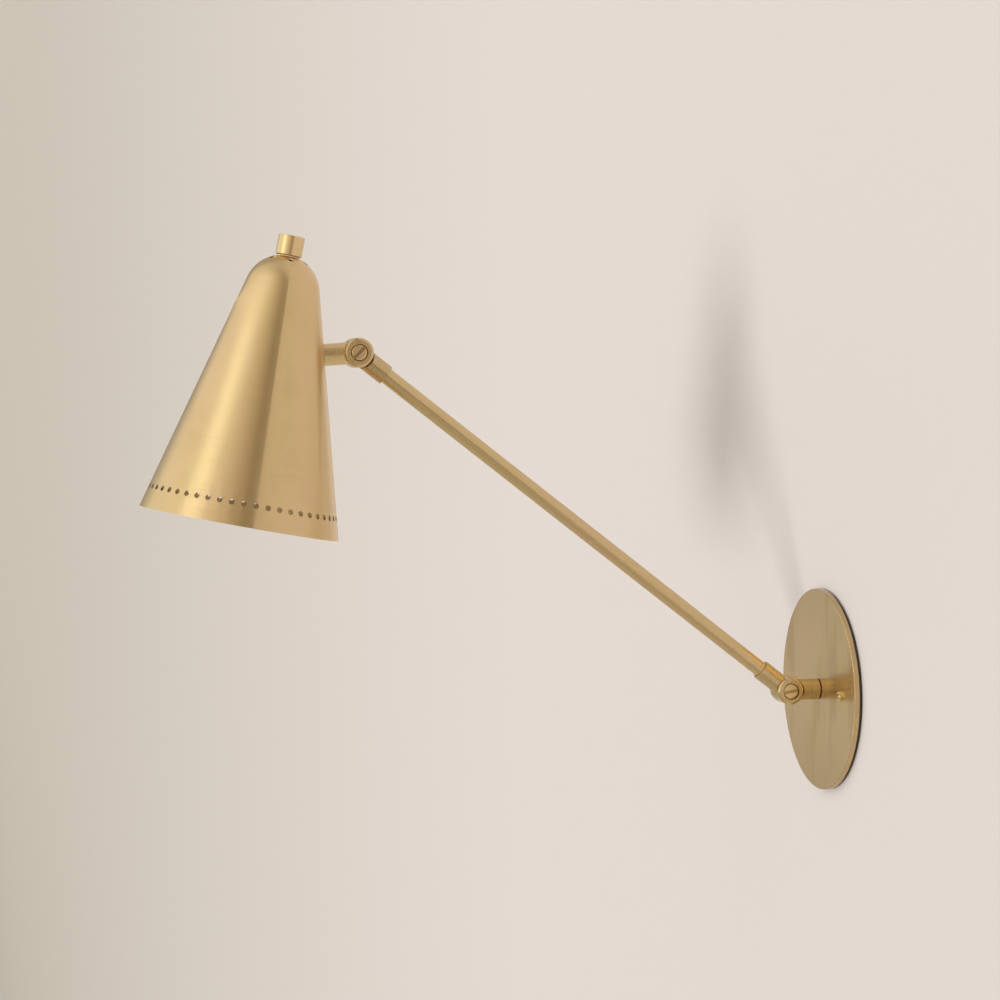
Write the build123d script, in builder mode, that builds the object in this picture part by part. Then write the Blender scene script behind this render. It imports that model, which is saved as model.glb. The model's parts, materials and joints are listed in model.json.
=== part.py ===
"""Swing arm wall lamp in satin brass, in millimetres.

The origin is the centre of the wall plate, on the wall. +Z is up, -Y points out into the room
and X runs along the wall, parallel to the pins of both knuckle joints.
"""

from build123d import *
from math import acos, atan2, cos, hypot, radians, sin, sqrt, tan
import os

os.makedirs("parts", exist_ok=True)

# Clearances and small common sizes
RUN_GAP = 0.06            # radial gap of a shaft that turns in its bore
THREAD_GAP = 0.05         # radial gap between a screwed pair
HOLE_GAP = 0.3            # radial gap of a screw that passes through a plain hole
SLIDE_GAP = 0.5           # gap between parts that pass each other as a joint turns
DOME_SHARE = 0.7          # edge radius of a domed screw head, as a share of its height
EDGE = 0.4                # broken edge of turned brass
SLOT_WIDTH = 1.1          # screwdriver slots
SLOT_DEPTH = 0.9
INCH = 25.4

# Backing disc that is screwed to the wall box
DISC_DIA = 120.5
DISC_THICK = 1.8
DISC_OPENING_DIA = 36.0
BOX_SCREW_SPACING = 3.5 * INCH
BOX_SLOT_LENGTH = 12.0
BOX_SLOT_WIDTH = 4.8
GROUND_SCREW_RADIUS = 1.9
GROUND_HEAD_RADIUS = 3.6
GROUND_HEAD_HEIGHT = 1.3
GROUND_SCREW_LENGTH = 7.0
GROUND_OFFSET = 28.0

# Wall plate
PLATE_DIA = 123.5
PLATE_THICK = 3.0
PLATE_RECESS = 1.6
PLATE_RIM = 7.0
PLATE_BOSS_DIA = 40.0
PLATE_SCREW_SPACING = 3 * INCH
PLATE_SCREW_BOSS_DIA = 14.0
PLATE_SCREW_RADIUS = 1.75
PLATE_SCREW_LENGTH = 10.0
PLATE_HEAD_RADIUS = 3.0
PLATE_HEAD_HEIGHT = 2.0
PLATE_SLOT_TURN = 30.0

# Swivel that carries the post
POST_DIA = 12.7
SEAM_WASHER_THICK = 0.5
SEAM_WASHER_INSET = 0.5
NIPPLE_RADIUS = 4.8
NIPPLE_BORE = 3.4
NIPPLE_IN_POST = 6.5
NIPPLE_TAIL = 3.0
SPRING_WASHER_THICK = 0.8
SPRING_WASHER_RADIUS = 9.0
STOP_WASHER_THICK = 1.0
STOP_WASHER_RADIUS = 8.0
STOP_TAB_REACH = 12.5
STOP_TAB_WIDTH = 1.4
STOP_PEG_RADIUS = 0.9
STOP_PEG_RING = 11.2
STOP_PEG_SEAT = 1.4
POST_NUT_FLATS = 14.0
POST_NUT_THICK = 3.5

# Knuckle joints: two half discs side by side on one pivot screw
PIN_FROM_PLATE = 20.2
LOWER_DISC_DIA = 16.4
UPPER_DISC_DIA = 17.4
STACK_WIDTH = 17.0
KNUCKLE_ROUND = 1.6
KNUCKLE_GAP = 1.0         # between a disc and the other half's shoulder
FRICTION_WASHER_THICK = 0.5
CHANNEL_INNER = 4.2
CHANNEL_OUTER = 6.6
CHANNEL_DEPTH = 4.6
PIVOT_RADIUS = 2.6
PIVOT_THREAD_DEPTH = 6.2
PIVOT_HEAD_RADIUS = 4.8
PIVOT_HEAD_HEIGHT = 1.9
PIVOT_HEAD_ROUND = 1.1
PIVOT_HEAD_RECESS = 2.3
PIVOT_SLOT_WIDTH = 1.7
LOWER_SLOT_TURN = 8.0
UPPER_SLOT_TURN = 45.0
WIRE_BORE = 2.6

# Arm
ARM_LENGTH = 337.8
ARM_RISE = 38.04
ARM_TUBE_DIA = 0.375 * INCH
ARM_TUBE_WALL = 1.0
SLEEVE_DIA = 12.2
SLEEVE_END = 21.5
TUBE_SEAT_DEPTH = 11.0
WIRE_RADIUS = 1.0

# Shade
SHADE_TILT = 11.12
RIM_DIA = 117.0
SHADE_SLOPE = 14.7
SHADE_TOP = 156.8
DOME_CROWN = 158.3
SHADE_WALL = 1.0
SHADE_CUT = 2.0              # depth of a cut that clears the wall
PIERCING_COUNT = 50
PIERCING_RADIUS = 1.6
PIERCING_LENGTH = 6.0        # of the punch, half on each side of the wall
PIERCING_HEIGHT = 12.6
VENT_COUNT = 6
VENT_RADIUS = 1.9
VENT_RING = 10.9
VENT_PLUNGE = 10.0
VENT_TURN = 0.0

# Stub that joins the shade to the arm
STUB_DIA = 13.0
STUB_REACH = 19.8
STUB_HEIGHT = 105.3
SPIGOT_RADIUS = 4.8
SPIGOT_INSIDE = 7.5
SADDLE_ALLOWANCE = 3.0       # stub length to spare before the saddle is cut
SADDLE_WASHER_RADIUS = 8.5
SADDLE_WASHER_INSIDE = 2.6
STUB_NUT_FLATS = 13.0
STUB_NUT_THICK = 3.0

# Rotary switch and its knob
KNOB_DIA = 15.4
KNOB_HEIGHT = 11.5
KNOB_LIFT = 1.2
KNOB_RECESS_RADIUS = 6.9
KNOB_RECESS_DEPTH = 1.3
KNOB_BORE_DEPTH = 8.0
SET_SCREW_RADIUS = 1.4
SET_SCREW_DROP = 6.0
SWITCH_SHAFT_RADIUS = 3.0
BUSHING_RADIUS = 4.7
RING_NUT_RADIUS = 6.2
RING_NUT_HEIGHT = 1.7
COLLAR_RADIUS = 7.0
COLLAR_LENGTH = 9.0
SWITCH_RADIUS = 11.0
SWITCH_LENGTH = 16.0
SWITCH_WALL = 2.0
ROTOR_RADIUS = 7.5
ROTOR_LENGTH = 6.0
ROTOR_LIFT = 3.0

# Hoop that hangs the lampholder below the switch
HOOP_THICK = 1.5
HOOP_INNER_WIDTH = 27.0
HOOP_INNER_HEIGHT = 18.0
HOOP_DEPTH = 11.0
HOOP_CORNER = 2.0
HOOP_SCREW_SPACING = 15.0
HOOP_SCREW_RADIUS = 1.5
HOOP_SCREW_HEAD_RADIUS = 2.7
HOOP_SCREW_HEAD_HEIGHT = 1.5
HOOP_SCREW_LENGTH = 8.0

# Lampholder for a medium screw base
HOLDER_DIA = 36.0
HOLDER_LENGTH = 32.0
HOLDER_BORE_RADIUS = 14.3
HOLDER_BORE_DEPTH = 24.5
SHELL_RADIUS = 13.9
SHELL_WALL = 0.4
SHELL_LENGTH = 20.0
CONTACT_RADIUS = 4.0
CONTACT_HEIGHT = 1.2

# Bulb
BULB_CAP_RADIUS = 13.1
BULB_CAP_WALL = 0.4
BULB_CAP_LENGTH = 22.0
BULB_CAP_DROP = 1.4
BULB_TIP_RADIUS = 4.5
BULB_NECK_RADIUS = 11.8
BULB_NECK_IN_CAP = 2.5
BULB_RADIUS = 24.0
BULB_LENGTH = 64.0
BULB_WALL = 0.8


# Worked out from the sizes above
CHEEK = (STACK_WIDTH - FRICTION_WASHER_THICK) / 2
PLATE_FACE = DISC_THICK + PLATE_THICK
POST_FOOT = PLATE_FACE + SEAM_WASHER_THICK
PIN_FROM_WALL = PLATE_FACE + PIN_FROM_PLATE
SLOPE = radians(SHADE_SLOPE)
DOME_RADIUS = (RIM_DIA / 2 * cos(SLOPE) - DOME_CROWN * sin(SLOPE)) / (1 - sin(SLOPE))
DOME_CENTRE = DOME_CROWN - DOME_RADIUS

# The pins of the two knuckles, and the plane that stands at each and looks along its part
arm_direction = Vector(0, -cos(radians(ARM_RISE)), sin(radians(ARM_RISE)))
lower_pin = Vector(0, -PIN_FROM_WALL, 0)
upper_pin = lower_pin + arm_direction * ARM_LENGTH
post_plane = Plane(origin=lower_pin, x_dir=(1, 0, 0), z_dir=(0, 1, 0))
arm_plane = Plane(origin=lower_pin, x_dir=(1, 0, 0), z_dir=arm_direction)
upper_plane = Plane(origin=upper_pin, x_dir=(1, 0, 0), z_dir=-arm_direction)

# The shade stands on its rim plane, with +y of that plane turned to the wall
stub_foot_radius = RIM_DIA / 2 - STUB_HEIGHT * tan(SLOPE)
pin_from_axis = stub_foot_radius + STUB_REACH * cos(SLOPE)
pin_above_rim = STUB_HEIGHT + STUB_REACH * sin(SLOPE)
shade_axis = Vector(0, sin(radians(SHADE_TILT)), cos(radians(SHADE_TILT)))
towards_wall = Vector(0, cos(radians(SHADE_TILT)), -sin(radians(SHADE_TILT)))
rim_centre = upper_pin - towards_wall * pin_from_axis - shade_axis * pin_above_rim
shade_plane = Plane(origin=rim_centre, x_dir=(1, 0, 0), z_dir=shade_axis)
shade_section = Plane(origin=rim_centre, x_dir=(1, 0, 0), z_dir=-towards_wall)
stub_direction = -(towards_wall * cos(SLOPE) + shade_axis * sin(SLOPE))
stub_plane = Plane(origin=upper_pin, x_dir=(1, 0, 0), z_dir=stub_direction)

# Heights above the rim plane of what hangs inside the shade
dome_inside = SHADE_TOP - SHADE_WALL
hoop_top = dome_inside - COLLAR_LENGTH
switch_top = hoop_top - HOOP_THICK
switch_floor = switch_top - SWITCH_LENGTH
hoop_sill = switch_top - HOOP_INNER_HEIGHT
holder_top = hoop_sill - HOOP_THICK
holder_mouth = holder_top - HOLDER_LENGTH
bore_ceiling = holder_mouth + HOLDER_BORE_DEPTH
contact_face = bore_ceiling - CONTACT_HEIGHT
cap_top = contact_face - BULB_CAP_DROP
cap_end = cap_top - BULB_CAP_LENGTH
bulb_end = cap_end - BULB_LENGTH
knob_base = SHADE_TOP + KNOB_LIFT
set_screw_plane = Plane(
    origin=rim_centre + shade_axis * (knob_base + KNOB_HEIGHT - SET_SCREW_DROP),
    x_dir=shade_axis, z_dir=(-1, 0, 0))


def out_from_wall(distance):
    """A plane parallel to the wall, this far into the room and facing the room."""
    return Plane(origin=(0, -distance, 0), x_dir=(1, 0, 0), z_dir=(0, -1, 0))


def lap_half(plane, side, disc_radius, stem_radius, stem_length, mate_radius):
    """One half of a knuckle. The plane stands at the pin and looks along the stem.

    The half disc is on the side of +X or -X. The stem is full round, and its shoulder is
    hollowed to let the other half's disc turn. A ring channel leads the wires round the pin.
    """
    origin = plane.origin
    face = Plane(origin=origin, x_dir=(0, 1, 0), z_dir=(side, 0, 0))
    back = Plane(origin=origin, x_dir=(0, 1, 0), z_dir=(-side, 0, 0))
    with BuildPart() as half:
        with BuildSketch(plane):
            Circle(stem_radius)
        extrude(amount=stem_length)
        with BuildSketch(back.offset(-FRICTION_WASHER_THICK / 2)):
            Circle(mate_radius + KNUCKLE_GAP)
        extrude(amount=STACK_WIDTH, mode=Mode.SUBTRACT)
        with BuildSketch(face.offset(FRICTION_WASHER_THICK / 2)):
            Circle(disc_radius)
        extrude(amount=CHEEK)
        rim = half.edges().filter_by(GeomType.CIRCLE).filter_by(
            lambda edge: abs(edge.radius - disc_radius) < 0.01)
        fillet(rim.sort_by(Axis((0, 0, 0), (side, 0, 0)))[-1], KNUCKLE_ROUND)
        with BuildSketch(face.offset(FRICTION_WASHER_THICK / 2)):
            Circle(CHANNEL_OUTER)
            Circle(CHANNEL_INNER, mode=Mode.SUBTRACT)
        extrude(amount=CHANNEL_DEPTH, mode=Mode.SUBTRACT)
        with BuildSketch(plane.offset(CHANNEL_INNER + EDGE)):
            Circle(WIRE_BORE)
        extrude(amount=stem_length, mode=Mode.SUBTRACT)
    return half.part


def bar(plane, radius, length, bore=0):
    """A round bar that stands on a plane, or a tube when it has a bore."""
    with BuildPart() as piece:
        with BuildSketch(plane):
            Circle(radius)
            if bore:
                Circle(bore, mode=Mode.SUBTRACT)
        extrude(amount=length)
    return piece.part


def hexagon(plane, flats, length, bore):
    """A hexagon nut with a round bore and its six corners turned down a little."""
    with BuildPart() as piece:
        with BuildSketch(plane):
            RegularPolygon(flats / 2, 6, major_radius=False)
            Circle(flats / 2 + EDGE, mode=Mode.INTERSECT)
            Circle(bore, mode=Mode.SUBTRACT)
        extrude(amount=length)
    return piece.part


def slotted_screw(plane, head_radius, head_height, radius, length, slot_turn=0, edge=EDGE / 2,
                  slot_width=SLOT_WIDTH):
    """A screw whose head stands on the plane and whose shank runs back behind it."""
    with BuildPart() as screw:
        with BuildSketch(plane):
            Circle(head_radius)
        extrude(amount=head_height)
        top = screw.faces().sort_by(Axis(plane.origin, plane.z_dir))[-1]
        fillet(top.edges(), edge)
        with BuildSketch(plane):
            Circle(radius)
        extrude(amount=-length)
        with BuildSketch(plane.offset(head_height)):
            Rectangle(2 * head_radius, slot_width, rotation=slot_turn)
        extrude(amount=-min(SLOT_DEPTH, head_height / 2), mode=Mode.SUBTRACT)
    return screw.part


def shade_solid(inset, skirt):
    """The shade as a full body, this far inside its outer skin, with a skirt below its rim."""
    radius = DOME_RADIUS - inset
    crown = SHADE_TOP - inset
    flat_radius = sqrt(radius ** 2 - (crown - DOME_CENTRE) ** 2)
    meet = (radius * cos(SLOPE), DOME_CENTRE + radius * sin(SLOPE))
    middle = radians(SHADE_SLOPE / 2) + atan2(crown - DOME_CENTRE, flat_radius) / 2
    crest = (radius * cos(middle), DOME_CENTRE + radius * sin(middle))
    foot = (RIM_DIA / 2 - inset / cos(SLOPE) + skirt * tan(SLOPE), -skirt)
    with BuildPart() as body:
        with BuildSketch(shade_section):
            with BuildLine():
                Line(foot, meet)
                ThreePointArc(meet, crest, (flat_radius, crown))
                Polyline((flat_radius, crown), (0, crown), (0, -skirt), foot)
            make_face()
        revolve(axis=Axis(rim_centre, shade_axis))
    return body.part


# Backing disc: slots for the wall box, tapped holes for the plate and the ground screw
with BuildPart() as mounting_disc:
    with BuildSketch(out_from_wall(0)):
        Circle(DISC_DIA / 2)
        Circle(DISC_OPENING_DIA / 2, mode=Mode.SUBTRACT)
        with GridLocations(0, BOX_SCREW_SPACING, 1, 2):
            SlotOverall(BOX_SLOT_LENGTH, BOX_SLOT_WIDTH, rotation=90, mode=Mode.SUBTRACT)
        with GridLocations(PLATE_SCREW_SPACING, 0, 2, 1):
            Circle(PLATE_SCREW_RADIUS + THREAD_GAP, mode=Mode.SUBTRACT)
        with Locations((0, -GROUND_OFFSET)):
            Circle(GROUND_SCREW_RADIUS + THREAD_GAP, mode=Mode.SUBTRACT)
    extrude(amount=DISC_THICK)

with BuildPart() as ground_screw:
    add(slotted_screw(
        Plane(origin=(0, -DISC_THICK, -GROUND_OFFSET), x_dir=(1, 0, 0), z_dir=(0, -1, 0)),
        GROUND_HEAD_RADIUS, GROUND_HEAD_HEIGHT, GROUND_SCREW_RADIUS, GROUND_SCREW_LENGTH))

# Wall plate: a thick turned disc, hollowed behind except at its rim and its screw bosses
with BuildPart() as wall_plate:
    with BuildSketch(out_from_wall(DISC_THICK)):
        Circle(PLATE_DIA / 2)
    extrude(amount=PLATE_THICK)
    front = wall_plate.faces().sort_by(Axis.Y)[0]
    fillet(front.edges(), EDGE)
    with BuildSketch(out_from_wall(DISC_THICK)):
        Circle(PLATE_DIA / 2 - PLATE_RIM)
        Circle(PLATE_BOSS_DIA / 2, mode=Mode.SUBTRACT)
        with GridLocations(PLATE_SCREW_SPACING, 0, 2, 1):
            Circle(PLATE_SCREW_BOSS_DIA / 2, mode=Mode.SUBTRACT)
    extrude(amount=PLATE_RECESS, mode=Mode.SUBTRACT)
    with BuildSketch(out_from_wall(DISC_THICK)):
        Circle(NIPPLE_RADIUS + RUN_GAP)
        with GridLocations(PLATE_SCREW_SPACING, 0, 2, 1):
            Circle(PLATE_SCREW_RADIUS + HOLE_GAP)
    extrude(amount=PLATE_THICK, mode=Mode.SUBTRACT)
    with BuildSketch(out_from_wall(DISC_THICK)):
        with Locations((0, STOP_PEG_RING)):
            Circle(STOP_PEG_RADIUS + THREAD_GAP)
    extrude(amount=STOP_PEG_SEAT, mode=Mode.SUBTRACT)

plate_screw_heads = [
    slotted_screw(
        Plane(origin=(side * PLATE_SCREW_SPACING / 2, -PLATE_FACE, 0),
              x_dir=(1, 0, 0), z_dir=(0, -1, 0)),
        PLATE_HEAD_RADIUS, PLATE_HEAD_HEIGHT, PLATE_SCREW_RADIUS, PLATE_SCREW_LENGTH,
        slot_turn=PLATE_SLOT_TURN, edge=PLATE_HEAD_HEIGHT * DOME_SHARE)
    for side in (-1, 1)]
with BuildPart() as plate_screws:
    add(plate_screw_heads)

with BuildPart() as stop_peg:
    add(bar(Plane(origin=(0, 0, STOP_PEG_RING), x_dir=(1, 0, 0), z_dir=(0, -1, 0)),
            STOP_PEG_RADIUS, DISC_THICK + STOP_PEG_SEAT))

# Post: it turns in the plate on a hollow nipple, and its knuckle half is on the -X side
post_half = lap_half(post_plane, -1, LOWER_DISC_DIA / 2, POST_DIA / 2,
                     PIN_FROM_WALL - POST_FOOT, LOWER_DISC_DIA / 2)
with BuildPart() as post:
    add(post_half)
    with BuildSketch(out_from_wall(POST_FOOT)):
        Circle(NIPPLE_RADIUS + THREAD_GAP)
    extrude(amount=NIPPLE_IN_POST, mode=Mode.SUBTRACT)
    with BuildSketch(Plane(origin=lower_pin, x_dir=(0, 1, 0), z_dir=(-1, 0, 0))):
        Circle(PIVOT_RADIUS + THREAD_GAP)
    extrude(amount=PIVOT_THREAD_DEPTH + HOLE_GAP, mode=Mode.SUBTRACT)

with BuildPart() as post_nipple:
    add(bar(out_from_wall(-POST_NUT_THICK - NIPPLE_TAIL), NIPPLE_RADIUS,
            POST_NUT_THICK + NIPPLE_TAIL + POST_FOOT + NIPPLE_IN_POST, NIPPLE_BORE))

with BuildPart() as seam_washer:
    add(bar(out_from_wall(PLATE_FACE), POST_DIA / 2 - SEAM_WASHER_INSET, SEAM_WASHER_THICK,
            NIPPLE_RADIUS + RUN_GAP))

with BuildPart() as spring_washer:
    add(bar(out_from_wall(STOP_WASHER_THICK), SPRING_WASHER_RADIUS, SPRING_WASHER_THICK,
            NIPPLE_RADIUS + THREAD_GAP))

# The tab of the stop washer meets the peg in the plate just past 170 degrees either way
with BuildPart() as stop_washer:
    with BuildSketch(out_from_wall(0)):
        Circle(STOP_WASHER_RADIUS)
        with Locations((0, -STOP_TAB_REACH / 2)):
            Rectangle(STOP_TAB_WIDTH, STOP_TAB_REACH)
        Circle(NIPPLE_RADIUS + THREAD_GAP, mode=Mode.SUBTRACT)
    extrude(amount=STOP_WASHER_THICK)

with BuildPart() as post_nut:
    add(hexagon(out_from_wall(-POST_NUT_THICK), POST_NUT_FLATS, POST_NUT_THICK,
                NIPPLE_RADIUS + THREAD_GAP))


def head_seat(pin):
    """The floor of the round recess for a pivot screw's head, facing +X."""
    return Plane(origin=pin + Vector(STACK_WIDTH / 2 - PIVOT_HEAD_RECESS, 0, 0),
                 x_dir=(0, -1, 0), z_dir=(1, 0, 0))


def pivot_screw(pin, slot_turn):
    """The slotted screw of a knuckle: it turns in the near half and is fast in the far one."""
    reach = STACK_WIDTH / 2 - PIVOT_HEAD_RECESS + FRICTION_WASHER_THICK / 2 + PIVOT_THREAD_DEPTH
    return slotted_screw(head_seat(pin), PIVOT_HEAD_RADIUS, PIVOT_HEAD_HEIGHT, PIVOT_RADIUS,
                         reach, slot_turn, PIVOT_HEAD_ROUND, PIVOT_SLOT_WIDTH)


def friction_ring(pin, disc_radius):
    """The thin washer between the two half discs of a knuckle."""
    return bar(Plane(origin=pin - Vector(FRICTION_WASHER_THICK / 2, 0, 0),
                     x_dir=(0, 1, 0), z_dir=(1, 0, 0)),
               disc_radius - EDGE, FRICTION_WASHER_THICK, CHANNEL_OUTER)


with BuildPart() as lower_pivot_screw:
    add(pivot_screw(lower_pin, LOWER_SLOT_TURN))

with BuildPart() as lower_friction_washer:
    add(friction_ring(lower_pin, LOWER_DISC_DIA / 2))

# Arm: two sleeves on a brass tube that carries the wires
lower_half = lap_half(arm_plane, 1, LOWER_DISC_DIA / 2, SLEEVE_DIA / 2, SLEEVE_END,
                      LOWER_DISC_DIA / 2)
with BuildPart() as lower_sleeve:
    add(lower_half)
    fillet(lower_sleeve.edges().sort_by(Axis(lower_pin, arm_direction))[-1], EDGE)
    with BuildSketch(arm_plane.offset(SLEEVE_END)):
        Circle(ARM_TUBE_DIA / 2 + THREAD_GAP)
    extrude(amount=-TUBE_SEAT_DEPTH, mode=Mode.SUBTRACT)
    with BuildSketch(head_seat(lower_pin)):
        Circle(PIVOT_HEAD_RADIUS + HOLE_GAP)
    extrude(amount=STACK_WIDTH, mode=Mode.SUBTRACT)
    with BuildSketch(head_seat(lower_pin)):
        Circle(PIVOT_RADIUS + RUN_GAP)
    extrude(amount=-CHEEK, mode=Mode.SUBTRACT)

with BuildPart() as arm_tube:
    add(bar(arm_plane.offset(SLEEVE_END - TUBE_SEAT_DEPTH), ARM_TUBE_DIA / 2,
            ARM_LENGTH - 2 * (SLEEVE_END - TUBE_SEAT_DEPTH), ARM_TUBE_DIA / 2 - ARM_TUBE_WALL))

with BuildPart() as arm_wires:
    with BuildSketch(arm_plane.offset(SLEEVE_END)):
        with GridLocations(2 * WIRE_RADIUS + HOLE_GAP, 0, 2, 1):
            Circle(WIRE_RADIUS)
    extrude(amount=ARM_LENGTH - 2 * SLEEVE_END)

upper_half = lap_half(upper_plane, -1, UPPER_DISC_DIA / 2, SLEEVE_DIA / 2, SLEEVE_END,
                      UPPER_DISC_DIA / 2)
with BuildPart() as upper_sleeve:
    add(upper_half)
    fillet(upper_sleeve.edges().sort_by(Axis(upper_pin, -arm_direction))[-1], EDGE)
    with BuildSketch(upper_plane.offset(SLEEVE_END)):
        Circle(ARM_TUBE_DIA / 2 + THREAD_GAP)
    extrude(amount=-TUBE_SEAT_DEPTH, mode=Mode.SUBTRACT)
    with BuildSketch(Plane(origin=upper_pin, x_dir=(0, 1, 0), z_dir=(-1, 0, 0))):
        Circle(PIVOT_RADIUS + THREAD_GAP)
    extrude(amount=PIVOT_THREAD_DEPTH + HOLE_GAP, mode=Mode.SUBTRACT)

with BuildPart() as upper_pivot_screw:
    add(pivot_screw(upper_pin, UPPER_SLOT_TURN))

with BuildPart() as upper_friction_washer:
    add(friction_ring(upper_pin, UPPER_DISC_DIA / 2))

# Shade: a spun cone that runs smoothly into a round crown, pierced near the rim and the knob
shade_outside = shade_solid(0, 0)
shade_inside = shade_solid(SHADE_WALL, EDGE)
with BuildPart(shade_plane) as shade_piercings:
    with Locations((0, 0, PIERCING_HEIGHT)):
        with PolarLocations(RIM_DIA / 2 - PIERCING_HEIGHT * tan(SLOPE), PIERCING_COUNT):
            Cylinder(PIERCING_RADIUS, PIERCING_LENGTH, rotation=(0, 90, 0))
    with Locations((0, 0, SHADE_TOP)):
        with PolarLocations(VENT_RING, VENT_COUNT, start_angle=VENT_TURN):
            Cylinder(VENT_RADIUS, VENT_PLUNGE)

with BuildPart() as shade:
    add(shade_outside)
    add(shade_inside, mode=Mode.SUBTRACT)
    add(shade_piercings.part, mode=Mode.SUBTRACT)
    with BuildSketch(shade_plane.offset(SHADE_TOP)):
        Circle(BUSHING_RADIUS + HOLE_GAP)
    extrude(amount=-SHADE_CUT, mode=Mode.SUBTRACT)
    with BuildSketch(stub_plane.offset(STUB_REACH)):
        Circle(SPIGOT_RADIUS + HOLE_GAP)
    extrude(amount=SHADE_CUT, both=True, mode=Mode.SUBTRACT)

# Stub: its end is saddle cut to sit on the shade, and a threaded spigot goes through the wall
stub_half = lap_half(stub_plane, 1, UPPER_DISC_DIA / 2, STUB_DIA / 2,
                     STUB_REACH + SADDLE_ALLOWANCE, UPPER_DISC_DIA / 2)
with BuildPart() as shade_stub:
    add(stub_half)
    add(shade_outside, mode=Mode.SUBTRACT)
    with BuildSketch(stub_plane.offset(STUB_REACH - EDGE)):
        Circle(SPIGOT_RADIUS)
        Circle(WIRE_BORE, mode=Mode.SUBTRACT)
    extrude(amount=EDGE + SHADE_WALL + SPIGOT_INSIDE)
    with BuildSketch(head_seat(upper_pin)):
        Circle(PIVOT_HEAD_RADIUS + HOLE_GAP)
    extrude(amount=STACK_WIDTH, mode=Mode.SUBTRACT)
    with BuildSketch(head_seat(upper_pin)):
        Circle(PIVOT_RADIUS + RUN_GAP)
    extrude(amount=-CHEEK, mode=Mode.SUBTRACT)

saddle_blank = bar(stub_plane.offset(STUB_REACH), SADDLE_WASHER_RADIUS,
                   SHADE_WALL + SADDLE_WASHER_INSIDE, SPIGOT_RADIUS + HOLE_GAP)
with BuildPart() as saddle_washer:
    add(saddle_blank)
    add(shade_inside, mode=Mode.INTERSECT)

with BuildPart() as stub_nut:
    add(hexagon(stub_plane.offset(STUB_REACH + SHADE_WALL + SADDLE_WASHER_INSIDE),
                STUB_NUT_FLATS, STUB_NUT_THICK, SPIGOT_RADIUS + THREAD_GAP))

# Rotary switch: its bushing goes up through the collar and the crown, under the ring nut
with BuildPart() as bushing_collar:
    add(bar(shade_plane.offset(hoop_top), COLLAR_RADIUS, COLLAR_LENGTH,
            BUSHING_RADIUS + THREAD_GAP))

with BuildPart() as ring_nut:
    add(bar(shade_plane.offset(SHADE_TOP), RING_NUT_RADIUS, RING_NUT_HEIGHT,
            BUSHING_RADIUS + THREAD_GAP))

with BuildPart() as switch_bushing:
    add(bar(shade_plane.offset(switch_top - SWITCH_WALL), BUSHING_RADIUS,
            SWITCH_WALL + HOOP_THICK + COLLAR_LENGTH + SHADE_WALL + RING_NUT_HEIGHT,
            SWITCH_SHAFT_RADIUS + RUN_GAP))

with BuildPart() as switch_body:
    add(bar(shade_plane.offset(switch_floor + SWITCH_WALL), SWITCH_RADIUS,
            SWITCH_LENGTH - SWITCH_WALL, BUSHING_RADIUS + THREAD_GAP))
    with BuildSketch(shade_plane.offset(switch_floor + SWITCH_WALL)):
        Circle(SWITCH_RADIUS - SWITCH_WALL)
    extrude(amount=SWITCH_LENGTH - 2 * SWITCH_WALL, mode=Mode.SUBTRACT)

with BuildPart() as switch_cover:
    add(bar(shade_plane.offset(switch_floor), SWITCH_RADIUS, SWITCH_WALL))

# Knob, shaft and rotor turn together
with BuildPart() as switch_rotor:
    add(bar(shade_plane.offset(switch_floor + SWITCH_WALL + ROTOR_LIFT), ROTOR_RADIUS,
            ROTOR_LENGTH, SWITCH_SHAFT_RADIUS + THREAD_GAP))

shaft_foot = switch_floor + SWITCH_WALL + SLIDE_GAP
with BuildPart() as switch_shaft:
    add(bar(shade_plane.offset(shaft_foot), SWITCH_SHAFT_RADIUS,
            knob_base + KNOB_BORE_DEPTH - SLIDE_GAP - shaft_foot))

with BuildPart() as knob:
    with BuildSketch(shade_plane.offset(knob_base)):
        Circle(KNOB_DIA / 2)
    extrude(amount=KNOB_HEIGHT)
    ends = knob.edges().filter_by(GeomType.CIRCLE)
    fillet(ends, EDGE)
    with BuildSketch(shade_plane.offset(knob_base)):
        Circle(KNOB_RECESS_RADIUS)
    extrude(amount=KNOB_RECESS_DEPTH, mode=Mode.SUBTRACT)
    with BuildSketch(shade_plane.offset(knob_base)):
        Circle(SWITCH_SHAFT_RADIUS + THREAD_GAP)
    extrude(amount=KNOB_BORE_DEPTH, mode=Mode.SUBTRACT)
    with BuildSketch(set_screw_plane):
        Circle(SET_SCREW_RADIUS + THREAD_GAP)
    extrude(amount=KNOB_DIA / 2, mode=Mode.SUBTRACT)

with BuildPart() as knob_set_screw:
    with BuildSketch(set_screw_plane.offset(SWITCH_SHAFT_RADIUS + THREAD_GAP)):
        Circle(SET_SCREW_RADIUS)
    extrude(amount=KNOB_DIA / 2 - SWITCH_SHAFT_RADIUS - 2 * EDGE)
    with BuildSketch(set_screw_plane.offset(KNOB_DIA / 2 + THREAD_GAP - 2 * EDGE)):
        Rectangle(2 * SET_SCREW_RADIUS, SLOT_WIDTH / 2)
    extrude(amount=-SLOT_DEPTH, mode=Mode.SUBTRACT)

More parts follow.
